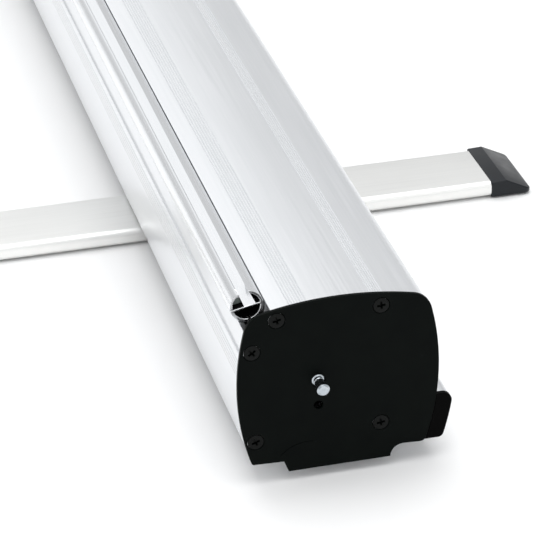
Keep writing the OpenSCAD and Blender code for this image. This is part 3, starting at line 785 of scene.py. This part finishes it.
def railInserts(side):
    # a grey wedge above the web, and below it a plug behind a black half-round cover
    inside = railRadius - rail["jawWall"] - 0.3
    upper = arc((0, 0), inside, 130, 176, 16) + [(-1.35, 0.5), (-2.5, 4.6)]
    lowerRadius = railRadius - rail["wall"] - 0.1
    low = angleAt(lowerRadius, y=-rail["web"] - 0.1)
    plug = arc((0, 0), lowerRadius, 180 + low, 262, 20) + [(-0.8, -3.4), (0.8, -3.4)]
    plug += arc((0, 0), lowerRadius, 278, 360 - low, 20)
    cover = arc((0, 0), lowerRadius, 180 + low, 360 - low, 40)
    start, upperEnd = railEnd - rail["insertLength"], railEnd - rail["insetUpper"]
    plugEnd, coverEnd = railEnd - rail["plugInset"], railEnd - rail["coverInset"]
    coverStart = coverEnd - rail["coverThickness"]
    way = toSide(side)
    bm = bmesh.new()
    addExtrusion(bm, [inRail(softened(upper, 0.5))], start, upperEnd, 0.3, way)
    greyFaces = len(bm.faces)
    addExtrusion(bm, [inRail(softened(plug, 0.4))], start, plugEnd, 0.0, way)
    addExtrusion(bm, [inRail(softened(cover, 0.5))], coverStart, coverEnd, 0.3, way)
    bm.faces.ensure_lookup_table()
    for face in bm.faces[greyFaces:]:
        face.material_index = 1
    piece = finished("railInserts" + side.capitalize(), bm, finishes["insert"])
    piece.data.materials.append(finishes["blackPlastic"])
    install(piece, "top_rail", "rail_plugs_" + side)


for side in sides:
    railInserts(side)
print("top rail made")


# ---- banner film between roll and rail, which unrolls when the rail is lifted

film = {"kneeOut": 2.6, "kneeDrop": 4.5, "columns": 20, "risingRows": 28, "thickness": 0.4}


def makeFilm():
    a = math.radians(rail["tilt"])
    down = Vector((math.sin(a), -math.cos(a)))
    centre = Vector(railCentre)
    knee = centre + Vector((film["kneeOut"], -railRadius - film["kneeDrop"]))
    rollRadius = (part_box("film_roll")[1].z - rollerMid.z) / mm + film["thickness"] / 2 + 0.05
    away = knee - Vector(rollerCentre)
    towardsKnee = math.degrees(math.atan2(away.y, away.x))
    touch = polar(rollerCentre, rollRadius, towardsKnee - math.degrees(math.acos(rollRadius / away.length)))
    inSlit = centre + down * (railRadius + 1)
    top = centre + down * (railRadius - rail["wall"] - 0.35)
    path = [Vector(touch).lerp(knee, k / 8) for k in range(8)]
    path += [knee.lerp(inSlit, k / film["risingRows"]) for k in range(film["risingRows"])]
    path += [inSlit.lerp(top, k / 3) for k in range(4)]
    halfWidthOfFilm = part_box("film_roll")[1].x / mm
    bm = bmesh.new()
    step = 2 * halfWidthOfFilm / film["columns"]
    places = [-halfWidthOfFilm + step * k for k in range(film["columns"] + 1)]
    rows = [[bm.verts.new(alongX(x, p)) for x in places] for p in path]
    for low, high in zip(rows, rows[1:]):
        for k in range(film["columns"]):
            bm.faces.new((low[k], low[k + 1], high[k + 1], high[k]))
    piece = finished("bannerFilm", bm, finishes["film"], 180)
    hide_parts("banner_film")
    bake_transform(piece)


makeFilm()


# ---- rear rail and its black end caps

rear = {"depth": 8.5, "top": 24.0, "bottom": 0.3, "wall": 1.5, "radius": 4.2, "lowRadius": 2.5,
        "capLength": 3.0, "gap": 0.1}


def rearLoop(inset):
    away = inset - rear["depth"]
    top, low = floorLevel + rear["top"] - inset, floorLevel + rear["bottom"] + inset
    rt, rb = rear["radius"] - inset, rear["lowRadius"] - inset
    upCentre = (sideY(away + rt, top - rt), top - rt)
    lowCentre = (sideY(away + rb, low + rb), low + rb)
    a0, a1 = bearing(sideCentre, lowCentre), bearing(sideCentre, upCentre)
    back = skin - rear["gap"] - inset
    loop = arc(lowCentre, rb, -90, a0, 8) + arc(sideCentre, casing["sideRadius"] - away, a0, a1, 14)
    loop += arc(upCentre, rt, a1, 90, 10) + list(reversed(sidePath(back, low, top, 14)))
    return loop


def makeRearRail():
    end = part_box("rear_rail")[1].x / mm
    loops = [softened(rearLoop(0), 0.3), softened(rearLoop(rear["wall"]), 0.4)]
    # the rear rail takes the lower casing's darker copy, with its painted shade
    install(extrusion("rearRail", loops, -end, end, finishes["casingBase"]), "cassette", "rear_rail")


def makeRearCap(side):
    # moulded cap: a rounded face that stands a little proud of the rail, trimmed along the end plate
    low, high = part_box("rear_cap_" + side)
    end = max(abs(low.x), abs(high.x)) / mm
    outside = rearLoop(-0.25)
    face = [p for p in outside if p[0] > sideY(-rear["gap"], p[1]) + 0.01]
    levels = [p[1] for p in face]
    inside = list(reversed(sidePath(-rear["gap"], min(levels), max(levels), 14)))
    start = min(range(len(face)), key=lambda k: (face[k][1], face[k][0]))
    loop = softened(face[start:] + face[:start] + inside, 0.4)
    piece = extrusion("rearCap" + side.capitalize(), [loop], end - rear["capLength"], end,
                      finishes["blackPlastic"], 0.5, toSide(side))
    install(piece, "cassette", "rear_cap_" + side)


makeRearRail()
for side in sides:
    makeRearCap(side)
print("rear rail made")


# ---- feet: flat bars with rounded edges, moulded caps, pads and bolts

foot = {"edge": 3.4, "wall": 1.7, "pad": 1.0, "hubHole": 8.5, "boltHole": 4.05,
        "capLength": 23.5, "ridgeAt": 8.5, "ridgeRise": 0.6, "capProud": 0.3, "capCorner": 3.5,
        "lipHeight": 1.8, "padRadius": 5.0, "padAt": 7.0}


def pill(width, low, high, r, steps=8):
    # rounded bar section round x = 0
    corners = ((width / 2 - r, low + r, -90), (width / 2 - r, high - r, 0), (r - width / 2, high - r, 90),
               (r - width / 2, low + r, 180))
    return [p for x, z, a in corners for p in arc((x, z), r, a, a + 90, steps)]


def footBar(side):
    low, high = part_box("foot_bar_" + side)
    pivot = (low.x + high.x) / 2 / mm
    width, half, top = (high.x - low.x) / mm, high.y / mm, high.z / mm
    wall, pad = foot["wall"], foot["pad"]
    section = [pill(width, pad, top, foot["edge"]), pill(width - 2 * wall, pad + wall, top - wall, 1.8, 5)]
    section = [[(pivot + x, z) for x, z in loop] for loop in section]
    bar = extrusion("footBar" + side.capitalize(), section, -half, half, finishes["foot"], 0.0, alongY)
    hubHole = (-1, pad + wall + 0.4, foot["hubHole"])
    boltHole = (top - wall - 0.5, top + 2, foot["boltHole"])
    for z0, z1, r in (hubHole, boltHole):
        profile = [(z0, 0), (z0, r), (z1, r), (z1, 0)]
        bar = combine(bar, turned("drill", profile, (pivot, 0), finishes["foot"], alongZ))
    install(bar, "foot_" + side, "foot_bar_" + side)
    return pivot, width, half, top


def footCap(width, half, top):
    # a wedge with a flat band, a ridge and a sloping face, rounded in plan, drawn round x = 0
    pad, length = foot["pad"], foot["capLength"]
    w = width / 2 + foot["capProud"]
    tip = half + length
    profile = [(half, pad), (tip - 3, pad), (tip, pad + 1), (tip, pad + foot["lipHeight"] + 0.4),
               (half + foot["ridgeAt"], top + foot["ridgeRise"]), (half, top + 0.25)]
    body = extrusion("cap", [softened(profile, 0.8, 4)], -w, w, finishes["footCap"], 0.5)
    r = foot["capCorner"]
    plan = [(-w, half - 1), (w, half - 1)]
    plan += arc((w - r, tip - r), r, 0, 90, 12) + arc((r - w, tip - r), r, 90, 180, 12)
    keep = extrusion("plan", [plan], -2, top + 6, finishes["footCap"], 0.0, alongZ)
    return bevelled(combine(body, keep, "INTERSECT"), 0.45 * mm, 28)


def makeFoot(side):
    pivot, width, half, top = footBar(side)
    caps = []
    for turn in (0, math.pi):
        cap = footCap(width, half, top)
        cap.data.transform(Matrix.Translation((pivot * mm, 0, 0)) @ Matrix.Rotation(turn, 4, "Z"))
        caps.append(cap)
    install(joined("footCaps" + side.capitalize(), caps), "foot_" + side, "foot_caps_" + side)
    bm = bmesh.new()
    r, pad = foot["padRadius"], foot["pad"]
    padProfile = [(pad, 0), (pad, r), (0.3, r), (0, r - 0.4), (0, r - 1.4), (0.25, r - 1.8), (0.25, 0)]
    for y in (half + foot["padAt"], -half - foot["padAt"]):
        addTurned(bm, padProfile, (pivot, y), alongZ)
    pads = finished("footPads" + side.capitalize(), bm, finishes["rubber"])
    install(pads, "foot_" + side, "foot_pads_" + side)
    low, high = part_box("foot_bolt_" + side)
    head = (high.x - low.x) / 2 / mm
    z0, z1 = low.z / mm, high.z / mm
    profile = [(z0 + 1.8, 0), (z0 + 1.6, 3.4), (z0, 3.9), (z0, head - 0.8), (z0 + 0.8, head),
               (z0 + 3.0, head), (z0 + 3.0, 4.0), (z1 - 0.5, 4.0), (z1, 3.5), (z1, 0)]
    bolt = turned("footBolt" + side.capitalize(), profile, (pivot, 0), finishes["steel"], alongZ)
    install(bolt, "cassette", "foot_bolt_" + side)


for side in sides:
    makeFoot(side)
print("feet made")


# ---- the other CAD pieces keep their own meshes and get their finishes

kept = {
    "steel": ["far_axle", "lock_disc", "spring_shaft", "socket_screws", "cradle_screws", "nut_plate_near",
              "nut_plate_far"],
    "spring": ["torsion_spring"],
    "tube": ["roller_tube", "pole_lower", "pole_middle", "pole_upper"],
    "blackPlastic": ["pole_socket", "pole_cradles", "pole_collars", "pole_foot", "pole_hook",
                     "end_block_near", "end_block_far"],
    "nylon": ["spring_anchor", "roller_plug_near", "roller_plug_far",
              "foot_hub_near", "foot_hub_far"],
    "film": ["film_roll", "hem_bead"],
    "rubber": ["foot_washer_near", "foot_washer_far"],
}
for finish, names in kept.items():
    for name in names:
        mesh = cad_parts[name].data
        mesh.materials.clear()
        mesh.materials.append(finishes[finish])
        mesh.polygons.foreach_set("use_smooth", [True] * len(mesh.polygons))
        mesh.set_sharp_from_angle(angle=math.radians(34))


# ---- floor, lights and camera

studio = {
    "floorSize": 12.0, "floorColour": ("#f4f4f4", "#f8f8f8"), "floorRoughness": 0.6,
    "skyColour": "#fdfeff", "skyMiddle": 1.1, "skySides": 0.68, "skyAt": -0.08,
    "skyFadeFrom": 0.08, "skyFadeTo": 0.34,
    "softboxes": [
        # name, place, aimed at, width, depth, watts
        ("overhead", (0.3, 0.1, 2.2), (0.3, 0.0, 0.0), 2.6, 2.0, 31),
        ("frontLeft", (0.2, -2.0, 1.1), (0.3, 0.0, 0.05), 1.8, 1.2, 6),
        ("endFill", (2.2, 0.6, 0.9), (0.45, 0.0, 0.05), 1.0, 0.8, 2),
    ],
}


def makeFloor():
    bm = bmesh.new()
    half = studio["floorSize"] / 2
    bm.faces.new([bm.verts.new((x * half, y * half, 0)) for x, y in ((-1, -1), (1, -1), (1, 1), (-1, 1))])
    # pale painted studio floor, almost even
    material, tree, shader, place = newMaterial("paintedStudioFloor", Roughness=studio["floorRoughness"])
    shader.inputs["Specular IOR Level"].default_value = 0.2
    cloud = noise(tree, place, 0.6, 2.0)
    tree.links.new(tint(tree, cloud, studio["floorColour"], (0.3, 0.7)), shader.inputs["Base Color"])
    finished("floor", bm, material)


def makeLights():
    world = bpy.data.worlds.new("studio")
    world.use_nodes = True
    # the studio's walls: bright along the stand, falling to a softer grey in front of it and behind it
    tree = world.node_tree
    sky = tree.nodes["Background"]
    sky.inputs["Color"].default_value = linear(studio["skyColour"])
    direction = addNode(tree, "ShaderNodeTexCoord").outputs["Generated"]
    sideways = addNode(tree, "ShaderNodeSeparateXYZ", links={"Vector": direction}).outputs["Y"]
    away = math2(tree, "ABSOLUTE", math2(tree, "SUBTRACT", sideways, studio["skyAt"]))
    strength = ramp(tree, away, studio["skyMiddle"], studio["skySides"], studio["skyFadeFrom"],
                    studio["skyFadeTo"])
    tree.links.new(strength, sky.inputs["Strength"])
    bpy.context.scene.world = world
    for name, place, target, width, depth, watts in studio["softboxes"]:
        data = bpy.data.lights.new(name, "AREA")
        data.shape, data.size, data.size_y, data.energy = "RECTANGLE", width, depth, watts
        light = bpy.data.objects.new(name, data)
        light.location = place
        light.rotation_euler = (Vector(target) - Vector(place)).to_track_quat("-Z", "Y").to_euler()
        bpy.context.scene.collection.objects.link(light)


camera = {"place": (1.6139, -0.3062, 0.7272), "heading": (-0.8518, 0.2145, -0.4779),
          "up": (-0.4595, 0.1323, 0.8783), "lens": 185.6}


def makeCamera():
    data = bpy.data.cameras.new("camera")
    data.lens, data.sensor_width = camera["lens"], 36
    data.clip_start, data.clip_end = 0.05, 50
    ahead, up = Vector(camera["heading"]).normalized(), Vector(camera["up"])
    right = ahead.cross(up).normalized()
    up = right.cross(ahead)
    turn = Matrix((right, up, -ahead)).transposed().to_4x4()
    piece = bpy.data.objects.new("camera", data)
    piece.matrix_world = Matrix.Translation(camera["place"]) @ turn
    bpy.context.scene.collection.objects.link(piece)
    bpy.context.scene.camera = piece


makeFloor()
makeLights()
makeCamera()
bpy.context.scene.view_settings.view_transform = "Standard"
print("floor, lights and camera made")
